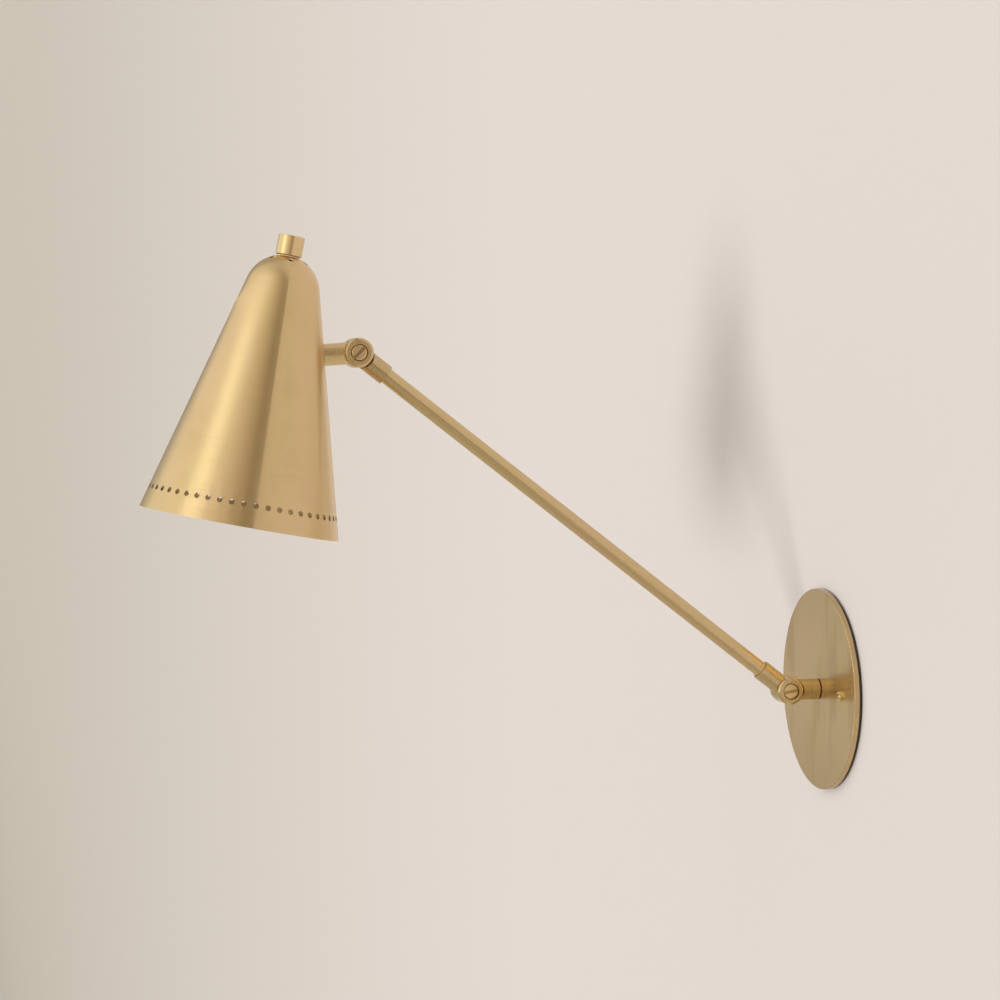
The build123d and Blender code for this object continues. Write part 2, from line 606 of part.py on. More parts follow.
# Hoop: a strap bent into a ring, clamped above the switch, with the lampholder screwed below
hoop_front = Plane(origin=shade_plane.origin + shade_axis * (hoop_sill + HOOP_INNER_HEIGHT / 2),
                   x_dir=(1, 0, 0), z_dir=-towards_wall)
with BuildPart() as holder_hoop:
    with BuildSketch(hoop_front):
        RectangleRounded(HOOP_INNER_WIDTH + 2 * HOOP_THICK, HOOP_INNER_HEIGHT + 2 * HOOP_THICK,
                         HOOP_CORNER + HOOP_THICK)
        RectangleRounded(HOOP_INNER_WIDTH, HOOP_INNER_HEIGHT, HOOP_CORNER, mode=Mode.SUBTRACT)
    extrude(amount=HOOP_DEPTH / 2, both=True)
    with BuildSketch(shade_plane.offset(switch_top)):
        Circle(BUSHING_RADIUS + HOLE_GAP)
    extrude(amount=HOOP_THICK, mode=Mode.SUBTRACT)
    with BuildSketch(shade_plane.offset(holder_top)):
        with GridLocations(HOOP_SCREW_SPACING, 0, 2, 1):
            Circle(HOOP_SCREW_RADIUS + HOLE_GAP)
    extrude(amount=HOOP_THICK, mode=Mode.SUBTRACT)

holder_screw_pair = [
    slotted_screw(Plane(origin=rim_centre + shade_axis * hoop_sill
                        + Vector(side * HOOP_SCREW_SPACING / 2, 0, 0),
                        x_dir=(1, 0, 0), z_dir=shade_axis),
                  HOOP_SCREW_HEAD_RADIUS, HOOP_SCREW_HEAD_HEIGHT, HOOP_SCREW_RADIUS,
                  HOOP_SCREW_LENGTH)
    for side in (-1, 1)]
with BuildPart() as holder_screws:
    add(holder_screw_pair)

# Lampholder for a medium screw base
with BuildPart() as lampholder:
    with BuildSketch(shade_plane.offset(holder_mouth)):
        Circle(HOLDER_DIA / 2)
    extrude(amount=HOLDER_LENGTH)
    fillet(lampholder.edges().filter_by(GeomType.CIRCLE), 2 * EDGE)
    with BuildSketch(shade_plane.offset(holder_mouth)):
        Circle(HOLDER_BORE_RADIUS)
    extrude(amount=HOLDER_BORE_DEPTH, mode=Mode.SUBTRACT)
    with BuildSketch(shade_plane.offset(holder_top)):
        with GridLocations(HOOP_SCREW_SPACING, 0, 2, 1):
            Circle(HOOP_SCREW_RADIUS + THREAD_GAP)
    extrude(amount=-HOOP_SCREW_LENGTH, mode=Mode.SUBTRACT)

with BuildPart() as lampholder_shell:
    with BuildSketch(shade_plane.offset(bore_ceiling - SHELL_LENGTH)):
        Circle(SHELL_RADIUS)
    extrude(amount=SHELL_LENGTH)
    with BuildSketch(shade_plane.offset(bore_ceiling - SHELL_LENGTH)):
        Circle(SHELL_RADIUS - SHELL_WALL)
    extrude(amount=SHELL_LENGTH - SHELL_WALL, mode=Mode.SUBTRACT)
    with BuildSketch(shade_plane.offset(bore_ceiling)):
        Circle(HOOP_SCREW_SPACING / 2)
    extrude(amount=-SHELL_WALL, mode=Mode.SUBTRACT)

with BuildPart() as lampholder_contact:
    add(bar(shade_plane.offset(contact_face), CONTACT_RADIUS, CONTACT_HEIGHT))

# Bulb
with BuildPart() as bulb_cap:
    with BuildSketch(shade_plane.offset(cap_end)):
        Circle(BULB_CAP_RADIUS)
    extrude(amount=BULB_CAP_LENGTH)
    fillet(bulb_cap.faces().sort_by(Axis(rim_centre, shade_axis))[-1].edges(), 2 * EDGE)
    with BuildSketch(shade_plane.offset(cap_end)):
        Circle(BULB_CAP_RADIUS - BULB_CAP_WALL)
    extrude(amount=BULB_CAP_LENGTH - 2 * BULB_CAP_WALL, mode=Mode.SUBTRACT)

with BuildPart() as bulb_contact:
    add(bar(shade_plane.offset(cap_top), BULB_TIP_RADIUS, BULB_CAP_DROP))


def bulb_solid(inset):
    """The bulb's glass as a full body: a ball with a straight neck that runs off it."""
    radius = BULB_RADIUS - inset
    neck_radius = BULB_NECK_RADIUS - inset
    centre = bulb_end + BULB_RADIUS
    neck_top = cap_end + BULB_NECK_IN_CAP
    rise = neck_top - centre
    turn = atan2(rise, neck_radius) - acos(radius / hypot(rise, neck_radius))
    shoulder = (radius * cos(turn), centre + radius * sin(turn))
    with BuildPart() as body:
        with BuildSketch(shade_section):
            with BuildLine():
                Line((neck_radius, neck_top), shoulder)
                RadiusArc(shoulder, (0, centre - radius), radius, short_sagitta=True)
                Polyline((0, centre - radius), (0, neck_top), (neck_radius, neck_top))
            make_face()
        revolve(axis=Axis(rim_centre, shade_axis))
    return body.part


bulb_outside = bulb_solid(0)
bulb_inside = bulb_solid(BULB_WALL)
with BuildPart() as bulb_glass:
    add(bulb_outside)
    add(bulb_inside, mode=Mode.SUBTRACT)

pieces = {
    "mounting_disc": mounting_disc,
    "ground_screw": ground_screw,
    "wall_plate": wall_plate,
    "plate_screws": plate_screws,
    "stop_peg": stop_peg,
    "post": post,
    "post_nipple": post_nipple,
    "seam_washer": seam_washer,
    "spring_washer": spring_washer,
    "stop_washer": stop_washer,
    "post_nut": post_nut,
    "lower_pivot_screw": lower_pivot_screw,
    "lower_friction_washer": lower_friction_washer,
    "lower_sleeve": lower_sleeve,
    "arm_tube": arm_tube,
    "arm_wires": arm_wires,
    "upper_sleeve": upper_sleeve,
    "upper_pivot_screw": upper_pivot_screw,
    "upper_friction_washer": upper_friction_washer,
    "shade": shade,
    "shade_stub": shade_stub,
    "saddle_washer": saddle_washer,
    "stub_nut": stub_nut,
    "bushing_collar": bushing_collar,
    "ring_nut": ring_nut,
    "switch_bushing": switch_bushing,
    "switch_body": switch_body,
    "switch_cover": switch_cover,
    "switch_rotor": switch_rotor,
    "switch_shaft": switch_shaft,
    "knob": knob,
    "knob_set_screw": knob_set_screw,
    "holder_hoop": holder_hoop,
    "holder_screws": holder_screws,
    "lampholder": lampholder,
    "lampholder_shell": lampholder_shell,
    "lampholder_contact": lampholder_contact,
    "bulb_cap": bulb_cap,
    "bulb_contact": bulb_contact,
    "bulb_glass": bulb_glass,
}
for name, piece in pieces.items():
    piece.part.label = name
    export_step(piece.part, f"parts/{name}.step")

print("lower pin", tuple(round(v, 3) for v in lower_pin))
print("upper pin", tuple(round(v, 3) for v in upper_pin))
print("rim centre", tuple(round(v, 3) for v in rim_centre))
print("dome radius", round(DOME_RADIUS, 3), "centre height", round(DOME_CENTRE, 3))
print("pin from axis", round(pin_from_axis, 2), "pin above rim", round(pin_above_rim, 2))
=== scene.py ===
# %% [markdown]
# A swing arm wall lamp in satin brass. The solids come from a packed model that is already at
# its real size, in metres, with +Z up and -Y pointing out of the wall. This lesson dresses them
# in brushed metal, cuts the screw threads and a knurl, and lights them as a soft window does.

# %% Load the solids
import json
import math

import bpy
import numpy as np
from mathutils import Matrix, Vector


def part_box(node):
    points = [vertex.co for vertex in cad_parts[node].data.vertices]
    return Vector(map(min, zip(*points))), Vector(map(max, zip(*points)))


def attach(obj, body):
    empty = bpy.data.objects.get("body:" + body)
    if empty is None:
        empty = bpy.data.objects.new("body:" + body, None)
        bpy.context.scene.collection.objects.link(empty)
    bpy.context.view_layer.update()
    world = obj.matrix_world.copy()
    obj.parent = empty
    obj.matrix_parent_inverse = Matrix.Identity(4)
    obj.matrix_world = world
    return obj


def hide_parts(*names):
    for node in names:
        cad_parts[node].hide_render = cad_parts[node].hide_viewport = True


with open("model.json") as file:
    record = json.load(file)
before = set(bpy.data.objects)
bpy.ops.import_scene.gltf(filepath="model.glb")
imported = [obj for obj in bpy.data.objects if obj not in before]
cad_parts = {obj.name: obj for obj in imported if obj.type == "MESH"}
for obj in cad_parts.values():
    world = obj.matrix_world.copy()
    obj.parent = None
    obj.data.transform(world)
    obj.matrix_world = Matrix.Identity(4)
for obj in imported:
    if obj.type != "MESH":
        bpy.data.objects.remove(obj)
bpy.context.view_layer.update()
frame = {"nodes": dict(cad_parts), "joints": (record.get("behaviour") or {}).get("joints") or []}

# %% [markdown]
# The joints say where the lamp turns, so the places in this file can be worked out from them.
# The arm runs from one pin to the other. The shade's axis is the axis of its knob.

# %% Pins and axes
joints = {joint["name"]: joint for joint in frame["joints"]}
LOWER_PIN = Vector(joints["arm_tilt"]["pos_m"])
UPPER_PIN = Vector(joints["shade_tilt"]["pos_m"])
SHADE_AXIS = Vector(joints["knob_turn"]["axis"]).normalized()
KNOB_POINT = Vector(joints["knob_turn"]["pos_m"])
ARM_AXIS = (UPPER_PIN - LOWER_PIN).normalized()
arm_rise = math.atan2(ARM_AXIS.z, -ARM_AXIS.y)
shade_lean = math.atan2(SHADE_AXIS.y, SHADE_AXIS.z)
print("arm rises", round(math.degrees(arm_rise), 2), "degrees")
print("shade leans", round(math.degrees(shade_lean), 2), "degrees")

# %% [markdown]
# The camera stands to the right of the lamp and looks almost along the wall. Its turn, height
# and lens were found by matching the plate, the arm and the shade's rim. The plate's centre
# lands on a chosen pixel, which fixes how far the camera stands to the side.

# %% Camera
IMAGE = 1000.0
SENSOR = 36.0
FOCAL_PIXELS = 2437.6
CAMERA_TURN = math.radians(76.59)
CAMERA_RISE = math.radians(2.66)
CAMERA_ROLL = math.radians(-0.405)
PLATE_DISTANCE = 1.5051
PLATE_PIXEL = (817.63, 688.80)
plate_face = Vector((0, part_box("wall_plate")[0].y, 0))


def camera_matrix():
    """Columns are right, up and back; the plate's centre is put on its pixel at its distance."""
    back = Vector((math.sin(CAMERA_TURN) * math.cos(CAMERA_RISE),
                   -math.cos(CAMERA_TURN) * math.cos(CAMERA_RISE), math.sin(CAMERA_RISE)))
    flat_right = Vector((math.cos(CAMERA_TURN), math.sin(CAMERA_TURN), 0))
    flat_up = back.cross(flat_right)
    right = math.cos(CAMERA_ROLL) * flat_right + math.sin(CAMERA_ROLL) * flat_up
    up = back.cross(right)
    per_pixel = PLATE_DISTANCE / FOCAL_PIXELS
    aside = (PLATE_PIXEL[0] - IMAGE / 2) * per_pixel
    below = (PLATE_PIXEL[1] - IMAGE / 2) * per_pixel
    place = plate_face - right * aside + up * below + back * PLATE_DISTANCE
    turn = Matrix((right, up, back)).transposed()
    return Matrix.Translation(place) @ turn.to_4x4()


camera = bpy.data.objects.new("camera", bpy.data.cameras.new("camera"))
bpy.context.scene.collection.objects.link(camera)
camera.data.sensor_width = SENSOR
camera.data.lens = SENSOR * FOCAL_PIXELS / IMAGE
camera.matrix_world = camera_matrix()
bpy.context.scene.camera = camera
bpy.context.scene.view_settings.view_transform = "Standard"
print("lens", round(camera.data.lens, 1), "mm at", [round(v, 3) for v in camera.location])

# %% [markdown]
# A shader is arithmetic on numbers that vary over a surface. Writing it as Python expressions
# is easier to read than a tangle of links, so a small class wraps a node's output and adds a
# Math node for each operator.


# %% Shader arithmetic
class Value:
    """A number or colour that varies over a surface; + - * / and ** add Math nodes."""

    def __init__(self, paint, socket):
        self.paint = paint
        self.socket = socket

    def math(self, operation, *numbers):
        return self.paint.node("ShaderNodeMath", {"operation": operation},
                               dict(enumerate(numbers)))

    def __add__(self, other):
        return self.math("ADD", self, other)

    def __sub__(self, other):
        return self.math("SUBTRACT", self, other)

    def __rsub__(self, other):
        return self.math("SUBTRACT", other, self)

    def __mul__(self, other):
        return self.math("MULTIPLY", self, other)

    def __truediv__(self, other):
        return self.math("DIVIDE", self, other)

    def __rtruediv__(self, other):
        return self.math("DIVIDE", other, self)

    def __pow__(self, other):
        return self.math("POWER", self, other)

    def __rpow__(self, other):
        return self.math("POWER", other, self)

    __radd__ = __add__
    __rmul__ = __mul__

    def clamp(self, low=0.0, high=1.0):
        return self.math("MINIMUM", self.math("MAXIMUM", self, low), high)


print("operators", [name for name in vars(Value) if name.startswith("__r")])

# %% [markdown]
# One method makes every other kind of node: first its settings, then numbers or links for its
# inputs. The rest of the class is a handful of short recipes that the finishes share. All of
# them read the object's own coordinates, so that a pattern stays on a piece as it moves.

# %% Materials
NOISE_MIDDLE = 0.5
INWARDS_STEP = -2000.0      # turns a slightly negative product into a full 1


class Paint:
    """One material as it is built, with the object's own coordinates at hand."""

    def __init__(self, name):
        self.material = bpy.data.materials.new(name)
        self.begin(self.material, "Object")

    def begin(self, owner, coordinates):
        """Clears the nodes of a material or a world and reads its coordinates."""
        owner.use_nodes = True
        self.tree = owner.node_tree
        self.tree.nodes.clear()
        self.place = self.node("ShaderNodeTexCoord", out=coordinates)

    def node(self, kind, settings=None, inputs=None, out=0):
        """Adds a node: its settings come first, then numbers or links for its inputs."""
        made = self.tree.nodes.new(kind)
        for key, value in (settings or {}).items():
            if key == "stops":
                self.ramp(made.color_ramp, value)
            else:
                setattr(made, key, value)
        for key, value in (inputs or {}).items():
            if isinstance(value, Value):
                self.tree.links.new(value.socket, made.inputs[key])
            else:
                made.inputs[key].default_value = value
        return Value(self, made.outputs[out])

    def ramp(self, ramp, stops):
        """Gives a colour ramp its stops, each a position and a colour."""
        while len(ramp.elements) < len(stops):
            ramp.elements.new(0.5)
        for element, (position, shade) in zip(ramp.elements, stops):
            element.position = position
            element.color = tuple(shade) + (1,)

    def mix(self, factor, first, second):
        """A colour between two others; the factor may vary over the surface."""
        return self.node("ShaderNodeMix", {"data_type": "RGBA"},
                         {0: factor, 6: first, 7: second}, out=2)

    def noise(self, coordinates, scale=1.0, detail=2.0, rough=0.5):
        return self.node("ShaderNodeTexNoise", None,
                         {"Vector": coordinates, "Scale": scale, "Detail": detail,
                          "Roughness": rough})

    def above(self, noise, start, gain=1.0):
        """0 where a noise is below the start, rising by the gain above it, up to 1."""
        return ((noise - start) * gain).clamp()

    def about(self, middle, low, high, *noises):
        """A number about a middle value, which each (noise, amount) moves to both sides."""
        moved = sum((noise - NOISE_MIDDLE) * amount for noise, amount in noises)
        return (moved + middle).clamp(low, high)

    def part(self, letter):
        """The X, Y or Z of the coordinates."""
        return self.node("ShaderNodeSeparateXYZ", None, {0: self.place}, out=letter)

    def level(self, vector, angle):
        """A vector turned about X, which brings a leaning piece's own axis upright."""
        return self.node("ShaderNodeVectorRotate", {"rotation_type": "X_AXIS"},
                         {"Vector": vector, "Angle": angle})

    def turned(self, origin, angle, stretch):
        """Coordinates centred on a point, turned about X, then stretched along each axis."""
        centred = self.node("ShaderNodeVectorMath", {"operation": "SUBTRACT"},
                            {0: self.place, 1: origin})
        return self.node("ShaderNodeVectorMath", {"operation": "MULTIPLY"},
                         {0: self.level(centred, angle), 1: stretch})

    def inside(self, origin, angle):
        """1 where a hollow turned piece faces its own axis, 0 where it faces outwards.

        The product of the normal and the way out from the axis is negative on the inside.
        """
        normal = self.node("ShaderNodeNewGeometry", out="Normal")
        outwards = self.node("ShaderNodeVectorMath", {"operation": "DOT_PRODUCT"},
                             {0: self.level(normal, angle),
                              1: self.turned(origin, angle, (1.0, 1.0, 0.0))}, out=1)
        return (outwards * INWARDS_STEP).clamp()

    def bump(self, height, distance, strength=0.4):
        return self.node("ShaderNodeBump", None,
                         {"Height": height, "Distance": distance, "Strength": strength})

    def output(self, shader, kind="ShaderNodeOutputMaterial"):
        ending = self.tree.nodes.new(kind)
        self.tree.links.new(shader.socket, ending.inputs["Surface"])

    def finish(self, **inputs):
        """Ends in one Principled shader; names with a space are written with a low line."""
        values = {key.replace("_", " "): value for key, value in inputs.items()}
        self.output(self.node("ShaderNodeBsdfPrincipled", None, values, out="BSDF"))
        return self.material


print("recipes", [name for name in vars(Paint) if not name.startswith("__")])

# %% [markdown]
# The brass is lacquered and finely brushed. Its bands of light and dark are reflections, not
# paint, so the finish only has to blur them: a roughness between a fifth and two fifths, fine
# lines along the way it was brushed, and a slow drift between a pinker and a greener brass.
# Four noises do it. The brushing is stretched hard along one axis, the drift and the ageing
# are stretched a little, and the blotches are as long as they are wide.

# %% Satin brass
BRASS_PINK = (0.785, 0.583, 0.325)
BRASS_GREEN = (0.735, 0.588, 0.28)
BRASS_DEEP = (0.45, 0.30, 0.12, 1)      # where the lacquer has aged
BRASS_DARKENED = (0.45, 0.32, 0.17, 1)      # painted shade in slots and on the plate's rim; darker plate ends, shade inside
DRIFT_STRETCH = (38.0, 38.0, 9.0)
DRIFT_FROM = 0.35
DRIFT_GAIN = 2.2
AGED_STRETCH = (55.0, 55.0, 14.0)
BLOTCH_SCALE = 55.0
BLOTCH_FROM = 0.55
BLOTCH_SHARE = 0.5
BRUSH_SHARE = 0.25
MOST_WORN = 0.35
BRUSH_DEPTH = 0.00003
SMOOTHEST = 0.12


def satin_brass(name, origin, angle, lines, run, roughness=0.30, drift=1.0, silk=0.0, turn=0.0,
                tone=1.0, cloud=0.25, dark=None):
    """Brushed brass: lines is how fine the brushing is across it, run how fine along it.

    The coordinates are turned about X by the angle so that z follows the piece's own axis.
    Rings on a turned piece have a high run, a drawn tube has a low one. Silk draws each
    reflection out across the brushing, and turn says which way that is. Tone below 1 is a
    darker lacquer. Cloud is how strongly the lacquer has aged in patches. Dark takes the paint
    and returns how much of the darker brass shows, from 0 to 1: painted shade in screw slots
    and on the plate's rim, and a darker top and bottom of the plate and inside of the shade.
    """
    paint = Paint(name)
    fine = paint.noise(paint.turned(origin, angle, (lines, lines, run)), detail=3.0, rough=0.6)
    slow = paint.noise(paint.turned(origin, angle, DRIFT_STRETCH))
    aged = paint.noise(paint.turned(origin, angle, AGED_STRETCH), detail=3.0)
    blotch = paint.noise(paint.place, BLOTCH_SCALE, detail=4.0)
    pink, green = (tuple(c * tone for c in shade) + (1,) for shade in (BRASS_PINK, BRASS_GREEN))
    tint = paint.mix(paint.above(slow, DRIFT_FROM, DRIFT_GAIN * drift), pink, green)
    worn = ((blotch - BLOTCH_FROM) * BLOTCH_SHARE + (fine - NOISE_MIDDLE) * BRUSH_SHARE
            + (aged - NOISE_MIDDLE) * cloud)
    shade = paint.mix(worn.clamp(0.0, MOST_WORN), tint, BRASS_DEEP)
    if dark:
        shade = paint.mix(dark(paint), shade, BRASS_DARKENED)
    rough = paint.about(roughness, SMOOTHEST, 0.6, (fine, 0.10), (blotch, 0.06))
    return paint.finish(Normal=paint.bump(fine, BRUSH_DEPTH), Base_Color=shade, Metallic=1.0,
                        Roughness=rough, Anisotropic=silk, Anisotropic_Rotation=turn)


print("brass from", BRASS_PINK, "to", BRASS_GREEN)

# %% [markdown]
# Each piece is brushed its own way. The plate was brushed straight up and down. Its rim gets
# painted shade, and it is painted a little darker towards top and bottom. The post, the sleeves
# and the stub were turned, so they have rings round their axes. The tube was drawn, so its
# lines run along it. The shade and the knob were spun, and there each reflection is drawn out
# into a soft upright band.

# %% Brass for each piece
WALL_ORIGIN = (0.0, 0.0, 0.0)
RIM_ROUND = 0.0003
PLATE_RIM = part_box("wall_plate")[1].x - RIM_ROUND
EDGE_STEP = 5000.0
# Painted shade on the plate's rim, and a plate painted darker towards top and bottom:
RIM_SHADE_SHARE = 0.5
END_DARKENING = 0.28
SIDEWAYS = 0.25
knob_place = tuple(KNOB_POINT)
arm_angle = arm_rise - math.pi / 2


def plate_rim_shade_and_end_darkening(paint):
    """Painted shade all round the plate's rim, and a little darker towards top and bottom.

    RIM_SHADE_SHARE past the rim's radius, and END_DARKENING times the square of the height over
    it.
    """
    flat = paint.node("ShaderNodeVectorMath", {"operation": "MULTIPLY"},
                      {0: paint.place, 1: (1.0, 0.0, 1.0)})
    radius = paint.node("ShaderNodeVectorMath", {"operation": "LENGTH"}, {0: flat}, out=1)
    height = paint.part("Z") / PLATE_RIM
    edge = paint.above(radius, PLATE_RIM, EDGE_STEP)
    return edge * RIM_SHADE_SHARE + height * height * END_DARKENING


def shade_inside(paint):
    """Paints the shade's inside a darker brass than its outside."""
    return paint.inside(knob_place, shade_lean)


brass_plate = satin_brass("brushed_plate", WALL_ORIGIN, 0.0, lines=420.0, run=7.0,
                          roughness=0.21, silk=0.5, cloud=2.4, dark=plate_rim_shade_and_end_darkening)
brass_post = satin_brass("turned_post", WALL_ORIGIN, math.pi / 2, lines=40.0, run=2200.0,
                         roughness=0.26, tone=0.80)
brass_sleeve = satin_brass("turned_sleeves", tuple(LOWER_PIN), arm_angle, lines=40.0,
                           run=2200.0, roughness=0.26, tone=0.80)
brass_tube = satin_brass("drawn_tube", tuple(LOWER_PIN), arm_angle, lines=1500.0, run=12.0,
                         roughness=0.26, tone=0.88)
brass_stub = satin_brass("turned_stub", tuple(UPPER_PIN), shade_lean - math.pi / 2, lines=40.0,
                         run=2200.0, roughness=0.26, tone=0.9)
brass_shade = satin_brass("spun_shade", knob_place, shade_lean, lines=30.0, run=1600.0,
                          roughness=0.39, silk=0.9, turn=SIDEWAYS, dark=shade_inside)
brass_knob = satin_brass("turned_knob", knob_place, shade_lean, lines=60.0, run=2400.0,
                         silk=0.6, turn=SIDEWAYS)
brasses = (brass_plate, brass_post, brass_sleeve, brass_tube, brass_stub, brass_shade, brass_knob)
print("brass finishes", [brass.name for brass in brasses])

# %% [markdown]
# The slots of the two pivot screws get painted shade. A slot can't be told from a head by
# its place along the lamp, but it can by its depth: the screws lie across the lamp, so the
# floor of a slot has a lower x than the head that it is cut into.

# %% Brass screws
SLOT_DEPTH = 0.0009
SLOT_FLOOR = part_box("upper_pivot_screw")[1].x - SLOT_DEPTH
SLOT_STEP = 3000.0
SCREW_LINES = 1400.0
SCREW_ROUGHNESS = 0.25
SCREW_DRIFT = 1.6


def slot_painted_shade(paint):
    """Painted shade in a slot: 1 at its floor, falling to 0 over a third of a millimetre above it.
    """
    return ((SLOT_FLOOR - paint.part("X")) * SLOT_STEP + 1.0).clamp()


def screw(name, dark=None):
    return satin_brass(name, WALL_ORIGIN, 0.0, SCREW_LINES, SCREW_LINES, SCREW_ROUGHNESS,
                       SCREW_DRIFT, dark=dark)


screw_brass = screw("screw_brass")
pivot_brass = screw("pivot_screw_brass", slot_painted_shade)
print("slot floor at x", round(SLOT_FLOOR, 5))

# %% [markdown]
# The rest is quick to tell apart: black powder coat behind the plate, bright zinc on steel,
# black moulded plastic, white glazed porcelain and the bulb's frosted glass. Each has its own
# grain, so that none is a flat colour.

# %% Coats and metals
PEEL_SCALE = 1800.0
PEEL_DEPTH = 0.00008
WEAR_SCALE = 120.0
WEAR_FROM = 0.55
WEAR_SHARE = 0.4
COAT_WORN = (0.12, 0.09, 0.06, 1)
CLOUD_SCALE = 240.0
CLOUD_FROM = 0.4
CLOUD_GAIN = 1.5
CLOUD_SHADE = 0.72
SCRATCH_TURN = 0.4
SCRATCH_STRETCH = (3000.0, 90.0, 90.0)


def powder_coat(name, colour, sheen=0.55):
    """A fine orange peel on a dull colour."""
    paint = Paint(name)
    peel = paint.noise(paint.place, PEEL_SCALE)
    wear = paint.noise(paint.place, WEAR_SCALE, detail=4.0)
    base = paint.mix(paint.above(wear, WEAR_FROM) * WEAR_SHARE, colour, COAT_WORN)
    return paint.finish(Normal=paint.bump(peel, PEEL_DEPTH), Base_Color=base,
                        Roughness=paint.about(sheen, 0.2, 0.9, (peel, 0.2)))


def zinc(name, colour, roughness=0.32):
    """Plated steel: a cool grey with faint cloudy patches and fine scratches."""
    paint = Paint(name)
    cloud = paint.noise(paint.place, CLOUD_SCALE, detail=5.0)
    scratch = paint.noise(paint.turned(WALL_ORIGIN, SCRATCH_TURN, SCRATCH_STRETCH))
    base = paint.mix(paint.above(cloud, CLOUD_FROM, CLOUD_GAIN), colour + (1,),
                     tuple(c * CLOUD_SHADE for c in colour) + (1,))
    rough = paint.about(roughness, SMOOTHEST, 0.7, (cloud, 0.15), (scratch, 0.12))
    return paint.finish(Normal=paint.bump(scratch, BRUSH_DEPTH), Base_Color=base, Metallic=1.0,
                        Roughness=rough)


black_coat = powder_coat("black_powder_coat", (0.045, 0.033, 0.022, 1))
green_coat = powder_coat("green_coat", (0.03, 0.20, 0.07, 1), 0.4)
zinc_steel = zinc("zinc_plate", (0.60, 0.60, 0.58))
nickel = zinc("nickel_plate", (0.70, 0.67, 0.61), 0.22)
print("coats", black_coat.name, green_coat.name, zinc_steel.name, nickel.name)

# %% [markdown]
# Plastic, glaze and frosted glass get their depth from a soft sheen over a nearly even colour.
# The glaze has waves and pinholes, the plastic a faint grain, and the glass lets a little
# light in under its surface.

# %% Plastic, porcelain and glass
GRAIN_SCALE = 2600.0
GRAIN_DEPTH = 0.00004
PATCH_SCALE = 70.0
PATCH_SHARE = 0.5
PLASTIC_LIFT = 1.6
PLASTIC_HAZE = 0.01
WAVE_SCALE = 60.0
WAVE_DEPTH = 0.0004
SPECK_SCALE = 900.0
SPECK_FROM = 0.72
SPECK_GAIN = 8.0
COATING_SCALE = 140.0
GLAZE = (0.86, 0.84, 0.79, 1)
GLAZE_SPECK = (0.52, 0.46, 0.38, 1)
GLASS_LIGHT = (0.93, 0.92, 0.89, 1)
GLASS_DARK = (0.88, 0.86, 0.82, 1)


def moulded(name, colour, roughness=0.4):
    """Moulded plastic: even colour with a faint grain and duller handled patches."""
    paint = Paint(name)
    grain = paint.noise(paint.place, GRAIN_SCALE)
    patch = paint.noise(paint.place, PATCH_SCALE, detail=3.0)
    handled = tuple(min(1.0, c * PLASTIC_LIFT + PLASTIC_HAZE) for c in colour) + (1,)
    base = paint.mix(paint.above(patch, NOISE_MIDDLE) * PATCH_SHARE, colour + (1,), handled)
    return paint.finish(Normal=paint.bump(grain, GRAIN_DEPTH, 0.3), Base_Color=base,
                        Roughness=paint.about(roughness, 0.15, 0.8, (patch, 0.25)))


def porcelain(name):
    """White glaze over a slightly warm body, with pinholes and soft waves in the glaze."""
    paint = Paint(name)
    wave = paint.noise(paint.place, WAVE_SCALE)
    speck = paint.noise(paint.place, SPECK_SCALE, detail=1.0)
    base = paint.mix(paint.above(speck, SPECK_FROM, SPECK_GAIN), GLAZE, GLAZE_SPECK)
    return paint.finish(Normal=paint.bump(wave, WAVE_DEPTH, 0.25), Base_Color=base,
                        Roughness=paint.about(0.16, 0.08, 0.4, (wave, 0.1)),
                        Coat_Weight=0.5, Coat_Roughness=0.06)


def frosted_glass(name):
    """A white coated bulb: pale, with a silky gloss and a little light under its surface."""
    paint = Paint(name)
    coat = paint.noise(paint.place, COATING_SCALE, detail=4.0)
    return paint.finish(Base_Color=paint.mix(coat, GLASS_LIGHT, GLASS_DARK),
                        Roughness=paint.about(0.34, 0.2, 0.5, (coat, 0.15)),
                        Subsurface_Weight=0.25, Subsurface_Scale=0.004,
                        Coat_Weight=0.3, Coat_Roughness=0.18)


black_nylon = moulded("black_nylon", (0.025, 0.022, 0.020), 0.5)
black_phenolic = moulded("black_phenolic", (0.018, 0.016, 0.015), 0.28)
white_wire = moulded("white_wire", (0.72, 0.70, 0.65), 0.45)
white_porcelain = porcelain("white_porcelain")
bulb_white = frosted_glass("frosted_bulb")
print("pale finishes", white_wire.name, white_porcelain.name, bulb_white.name)

# %% [markdown]
# A solid keeps its shape and gets a finish. The list below says which pieces each one is for.
# Steel parts that it doesn't name are plated with zinc.

# %% Dress the solids
dress = {
    brass_plate: ("wall_plate",),
    brass_post: ("post",),
    brass_sleeve: ("lower_sleeve", "upper_sleeve"),
    brass_tube: ("arm_tube",),
    brass_stub: ("shade_stub",),
    brass_shade: ("shade",),
    brass_knob: ("knob",),
    screw_brass: ("plate_screws", "ring_nut", "lampholder_contact"),
    pivot_brass: ("lower_pivot_screw", "upper_pivot_screw"),
    black_coat: ("mounting_disc",),
    green_coat: ("ground_screw",),
    black_nylon: ("seam_washer", "lower_friction_washer", "upper_friction_washer"),
    black_phenolic: ("switch_body", "switch_cover", "switch_rotor"),
    white_wire: ("arm_wires",),
    white_porcelain: ("lampholder",),
    bulb_white: ("bulb_glass",),
    nickel: ("switch_bushing", "lampholder_shell", "bulb_cap", "bulb_contact"),
}
finish_of = {name: finish for finish, names in dress.items() for name in names}
for name, node in frame["nodes"].items():
    node.data.materials.clear()
    node.data.materials.append(finish_of.get(name, zinc_steel))
print("finishes", len(dress) + 1)
print("zinc plated", sorted(set(frame["nodes"]) - set(finish_of)))

# %% [markdown]
# Screw threads and knurls are what the eye expects on small turned parts, and the plain
# solids leave them out. Each one is a surface of two parameters: the turn round the axis and
# the way along a profile. The radius changes a little with both, and that makes the ridge.
# The grid is computed as one numpy array and its rows are joined into rings.

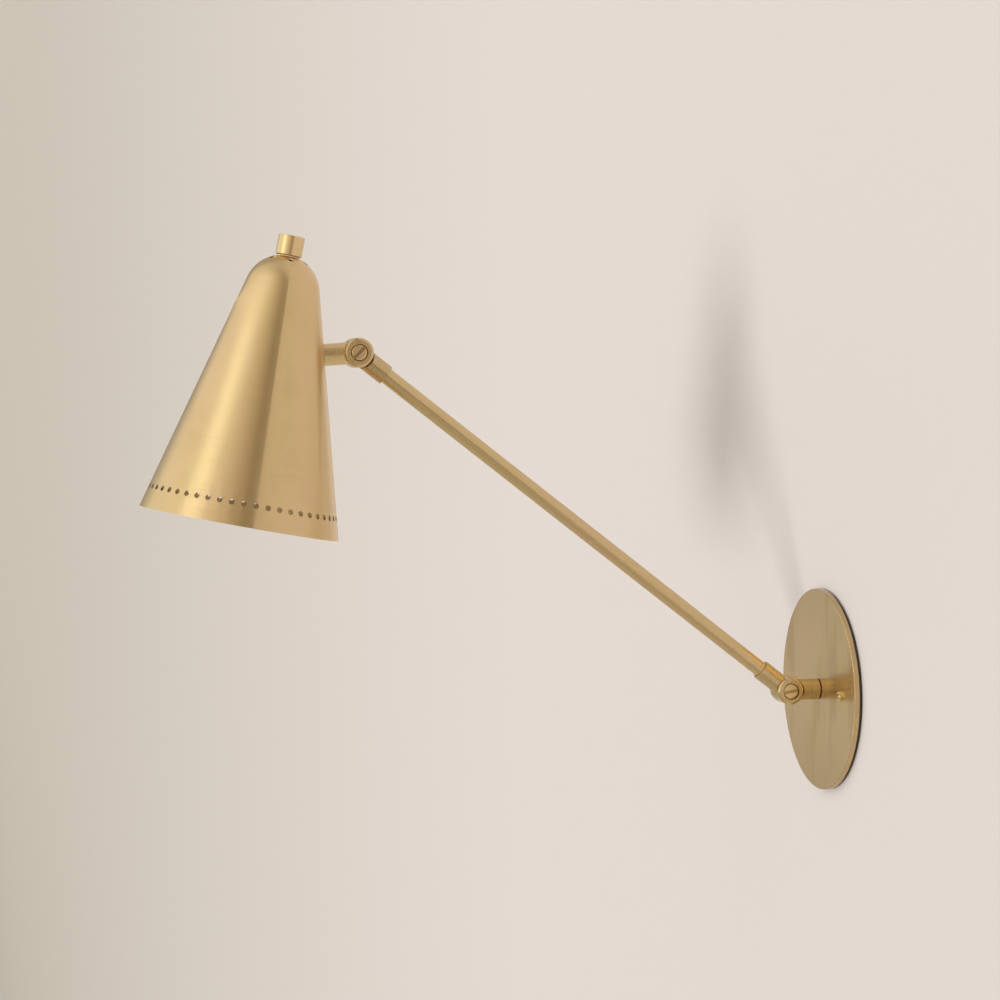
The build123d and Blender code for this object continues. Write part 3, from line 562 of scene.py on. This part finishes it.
# %% A grid becomes a mesh
MM = 0.001
SHARP_EDGE = math.radians(40)
axis = np.array(SHADE_AXIS)
knob_point = np.array(KNOB_POINT)
across = np.array((1.0, 0.0, 0.0))


def ring_mesh(name, points, finish, body, node):
    """Joins a grid of points [row, turn, xyz] into faces that close both ways.

    Every row is a ring round the axis, and the last row joins the first, so the profile is
    a closed loop.
    """
    rows, turns = points.shape[:2]
    low = np.arange(rows * turns).reshape(rows, turns)
    high = np.roll(low, -1, 0)
    faces = np.stack([low, np.roll(low, -1, 1), np.roll(high, -1, 1), high], -1).reshape(-1, 4)
    mesh = bpy.data.meshes.new(name)
    mesh.from_pydata(points.reshape(-1, 3).tolist(), [], faces.tolist())
    mesh.validate()
    mesh.polygons.foreach_set("use_smooth", np.ones(len(mesh.polygons), bool))
    mesh.set_sharp_from_angle(angle=SHARP_EDGE)
    mesh.materials.append(finish)
    piece = bpy.data.objects.new(name, mesh)
    bpy.context.scene.collection.objects.link(piece)
    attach(piece, body)
    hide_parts(node)
    print(name, len(mesh.polygons), "faces")


def on_axis(radius, height, turn, foot, axis):
    """Point = foot + axis * height + radius * (across * cos turn + (axis x across) * sin turn)."""
    other = np.cross(axis, across)
    return (foot + axis * height[..., None] + radius[..., None]
            * (across * np.cos(turn)[..., None] + other * np.sin(turn)[..., None]))


def ring_rows(profile, turns):
    """A plain ring for each (radius, height) of a profile: arrays of radius, height and turn."""
    profile = np.array(profile)
    radius, height = (np.repeat(column[:, None], len(turns), 1) for column in profile.T)
    return np.array([radius, height, np.repeat(turns[None], len(profile), 0)])


def reach(name, axis, foot):
    """How far a node reaches along an axis, from its lowest point to its highest."""
    mesh = frame["nodes"][name].data
    points = np.empty(len(mesh.vertices) * 3)
    mesh.vertices.foreach_get("co", points)
    heights = (points.reshape(-1, 3) - foot) @ axis
    return heights.min(), heights.max()


print("bulb cap reaches", [round(h, 4) for h in reach("bulb_cap", axis, knob_point)])

# %% [markdown]
# The bulb's cap has a rolled thread: seven shallow round turns to the inch. The sheet is
# rolled into waves, so the radius follows a cosine of the height less the turn.

# %% Rolled thread of the bulb's cap
CAP_RADIUS = 13.1 * MM
CAP_PITCH = 3.63 * MM
CAP_WAVE = 0.75 * MM
CAP_WALL = 0.4 * MM
CAP_SHOULDER = 1.6 * MM
CAP_SHOULDER_IN = 1.5 * MM
CAP_HOLE = 4.6 * MM
CAP_INSIDE = 11.0 * MM
CAP_INSIDE_DROP = 2 * MM
NECK_RADIUS = 11.85 * MM
CAP_TURNS = 72
CAP_ROWS = 84
SHOULDER_ROWS = 8


def cap_points(low, high):
    """Up the outside in waves, over the shoulder to the contact, and down the inside.

    Outside radius = CAP_RADIUS - wave * (1 - cos(2 pi (height / pitch) - turn)) / 2, and the
    wave fades out over one pitch at each end.
    """
    turns = np.linspace(0, 2 * math.pi, CAP_TURNS, endpoint=False)
    top = high - CAP_SHOULDER
    height, turn = np.meshgrid(np.linspace(low, top, CAP_ROWS), turns, indexing="ij")
    fade = np.clip(np.minimum(height - low, top - height) / CAP_PITCH, 0, 1)
    wave = CAP_WAVE * fade * (1 - np.cos(2 * math.pi * height / CAP_PITCH - turn)) / 2
    lift = np.linspace(0, math.pi / 2, SHOULDER_ROWS)[1:]
    shoulder = zip(CAP_RADIUS - CAP_SHOULDER_IN * (1 - np.cos(lift)),
                   top + CAP_SHOULDER * np.sin(lift))
    inner = [(CAP_HOLE, high), (CAP_HOLE, high - CAP_WALL), (CAP_INSIDE, high - CAP_WALL),
             (NECK_RADIUS, high - CAP_INSIDE_DROP), (NECK_RADIUS, low)]
    tail = ring_rows(list(shoulder) + inner, turns)
    radius, height, turn = np.hstack([(CAP_RADIUS - wave, height, turn), tail])
    return on_axis(radius, height, turn, knob_point, axis)


ring_mesh("bulb_cap_thread", cap_points(*reach("bulb_cap", axis, knob_point)), nickel,
          "shade", "bulb_cap")

# %% [markdown]
# The nut under the knob is turned by hand, so its rim is knurled with fine straight ridges.
# Its radius follows a rectified sine of the turn.

# %% Knurled ring nut
NUT_RADIUS = 6.2 * MM
NUT_BORE = 4.75 * MM
NUT_RIDGES = 36
POINTS_A_RIDGE = 6
RIDGE_DEPTH = 0.3 * MM
NUT_EDGE = 0.25 * MM


def nut_points(low, high):
    """Outer radius = NUT_RADIUS - depth * |sin(ridges * turn / 2)|, with both edges broken."""
    turns = np.linspace(0, 2 * math.pi, NUT_RIDGES * POINTS_A_RIDGE, endpoint=False)
    radius, height, turn = ring_rows(
        [(NUT_BORE, low), (NUT_RADIUS - NUT_EDGE, low), (NUT_RADIUS, low + NUT_EDGE),
         (NUT_RADIUS, high - NUT_EDGE), (NUT_RADIUS - NUT_EDGE, high), (NUT_BORE, high)], turns)
    radius[1:-1] -= RIDGE_DEPTH * np.abs(np.sin(NUT_RIDGES * turns / 2))
    return on_axis(radius, height, turn, knob_point, axis)


ring_mesh("ring_nut_knurl", nut_points(*reach("ring_nut", axis, knob_point)), screw_brass,
          "shade", "ring_nut")

# %% [markdown]
# A hollow nipple holds the post in the plate. Its tail and the nut on it show when the lamp
# is off the wall, so it gets its fine thread: twenty seven turns to the inch, cut as a V.

# %% Threaded nipple
NIPPLE_RADIUS = 4.8 * MM
NIPPLE_BORE = 3.4 * MM
NIPPLE_PITCH = 0.94 * MM
NIPPLE_CUT = 0.45 * MM
NIPPLE_TAPER = 0.3 * MM
NIPPLE_TURNS = 48
ROWS_A_PITCH = 8
into_wall = np.array((0.0, 1.0, 0.0))


def nipple_points(low, high):
    """Outer radius = NIPPLE_RADIUS - cut * |2 * fraction(height / pitch - turn) - 1|.

    Both ends taper over one pitch, and the bore is plain.
    """
    turns = np.linspace(0, 2 * math.pi, NIPPLE_TURNS, endpoint=False)
    rows = int(round((high - low) / NIPPLE_PITCH * ROWS_A_PITCH))
    height, turn = np.meshgrid(np.linspace(low, high, rows), turns, indexing="ij")
    phase = (height / NIPPLE_PITCH - turn / (2 * math.pi)) % 1.0
    fade = np.clip(np.minimum(height - low, high - height) / NIPPLE_PITCH, 0, 1)
    outside = NIPPLE_RADIUS - NIPPLE_CUT * np.abs(2 * phase - 1) - NIPPLE_TAPER * (1 - fade)
    bore = ring_rows([(NIPPLE_BORE, high), (NIPPLE_BORE, low)], turns)
    radius, height, turn = np.hstack([(outside, height, turn), bore])
    return on_axis(radius, height, turn, np.zeros(3), into_wall)


ring_mesh("post_nipple_thread", nipple_points(*reach("post_nipple", into_wall, np.zeros(3))),
          zinc_steel, "post", "post_nipple")

# %% [markdown]
# The stage is a pale wall that the lamp hangs on and a pale floor under it. Both are seen only
# from in front: from behind they let everything through, so that a camera behind the wall
# still sees the lamp's back. The wall ends some way to the right of the lamp. Past that end the
# brass reflects the dark end of the room, and that is its dark band.

# %% Wall and floor
FADE = 0.73
FADE_START = 0.8
PLASTER_SCALE = 220.0
PLASTER_FROM = 0.3
PLASTER_SHARE = 0.12
STAGE = 30.0
WALL_END = 1.4
FLOOR_DROP = -6.0
WALL_GAP = 0.0006


def one_sided(name, near, far):
    """A dull pale paint that is clear from behind.

    It is painted a little darker where it runs away from the window, a painted fall-off of the
    window's light: the share of the near colour is FADE to the power of the metres along -X,
    from where the fade starts.
    """
    paint = Paint(name)
    grain = paint.noise(paint.place, PLASTER_SCALE, detail=4.0)
    away = paint.part("X") * -1.0
    colour = paint.mix(FADE ** (away - FADE_START).clamp(0.0, 2 * STAGE), far, near)
    base = paint.mix(paint.above(grain, PLASTER_FROM) * PLASTER_SHARE, colour, far)
    front = paint.node("ShaderNodeBsdfDiffuse", None, {"Color": base})
    clear = paint.node("ShaderNodeBsdfTransparent")
    behind = paint.node("ShaderNodeNewGeometry", out="Backfacing")
    paint.output(paint.node("ShaderNodeMixShader", None, {0: behind, 1: front, 2: clear}))
    return paint.material


def stage_plane(name, corners, near, far):
    """Four corners, going round so that the visible side's normal follows the right hand."""
    mesh = bpy.data.meshes.new(name)
    mesh.from_pydata(corners, [], [(0, 1, 2, 3)])
    mesh.materials.append(one_sided(name + "_paint", near, far))
    plane = bpy.data.objects.new(name, mesh)
    bpy.context.scene.collection.objects.link(plane)
    print(name, [tuple(corner) for corner in corners])


stage_plane("wall", [(-STAGE, WALL_GAP, FLOOR_DROP), (WALL_END, WALL_GAP, FLOOR_DROP),
                     (WALL_END, WALL_GAP, STAGE), (-STAGE, WALL_GAP, STAGE)],
            (0.607, 0.573, 0.568, 1), (0.462, 0.438, 0.405, 1))
stage_plane("floor", [(-STAGE, -STAGE, FLOOR_DROP), (STAGE, -STAGE, FLOOR_DROP),
                      (STAGE, STAGE, FLOOR_DROP), (-STAGE, STAGE, FLOOR_DROP)],
            (0.90, 0.87, 0.83, 1), (0.84, 0.81, 0.77, 1))

# %% [markdown]
# The light comes from a window out in the room, between the lamp's front and the camera and
# level with the lamp. It is a sun lamp with a wide soft disc, because a real sun lights a whole
# wall evenly. It is hidden from reflections, where a bright band of the room stands for it.

# %% Window
WINDOW_DIRECTION = Vector((0.51, -0.90, -0.012)).normalized()
WINDOW_ANGLE = math.radians(15.5)
WINDOW_STRENGTH = 1.5
WINDOW_COLOUR = (1.0, 0.975, 0.93)

window = bpy.data.objects.new("window", bpy.data.lights.new("window", "SUN"))
window.data.energy = WINDOW_STRENGTH
window.data.angle = WINDOW_ANGLE
window.data.color = WINDOW_COLOUR
window.visible_glossy = False
window.rotation_euler = WINDOW_DIRECTION.to_track_quat("Z", "Y").to_euler()
bpy.context.scene.collection.objects.link(window)
print("window towards", [round(v, 3) for v in WINDOW_DIRECTION])

# %% [markdown]
# The room is pale in front of the lamp and falls off to both ends of the wall, and the metal
# shows that fall as its dark band. The fall goes by the compass direction alone, the
# arctangent of X over -Y, so that the dark part stands upright like a doorway. Each stop below
# is a compass direction in degrees from straight out of the wall towards +X, and a colour.

# %% Room
ROOM_STOPS = [(-90, (0.36, 0.34, 0.31)), (-66, (0.53, 0.49, 0.45)), (-46, (1.05, 1.04, 0.99)),
              (-8, (1.06, 0.99, 0.93)), (10, (1.10, 1.05, 0.98)), (17, (1.80, 1.78, 1.63)),
              (29, (1.84, 1.82, 1.66)), (40, (1.10, 1.01, 0.93)), (57, (0.88, 0.79, 0.67)),
              (74, (0.66, 0.57, 0.45)), (86, (0.50, 0.42, 0.30)), (95, (0.22, 0.17, 0.10)),
              (130, (0.12, 0.09, 0.05))]
CEILING_STOPS = [(0.85, (1, 1, 1)), (1.0, (0.6, 0.6, 0.6))]


class Room(Paint):
    """The world's shader, with the same way of making nodes as a material's."""

    def __init__(self, world):
        self.begin(world, "Generated")


world = bpy.data.worlds.new("room")
bpy.context.scene.world = world
room = Room(world)
compass = room.part("X").math("ARCTAN2", room.part("X"), room.part("Y") * -1.0)
stops = [(0.5 + degrees / 360, shade) for degrees, shade in ROOM_STOPS]
sides = room.node("ShaderNodeValToRGB", {"stops": stops}, {0: compass / (2 * math.pi) + 0.5})
ceiling = room.node("ShaderNodeValToRGB", {"stops": CEILING_STOPS},
                    {0: room.part("Z") * 0.5 + 0.5})
pale = room.node("ShaderNodeMix", {"data_type": "RGBA", "blend_type": "MULTIPLY"},
                 {0: 1.0, 6: sides, 7: ceiling}, out=2)
room.output(room.node("ShaderNodeBackground", None, {"Color": pale}), "ShaderNodeOutputWorld")
print("room stops", len(ROOM_STOPS))

# %% [markdown]
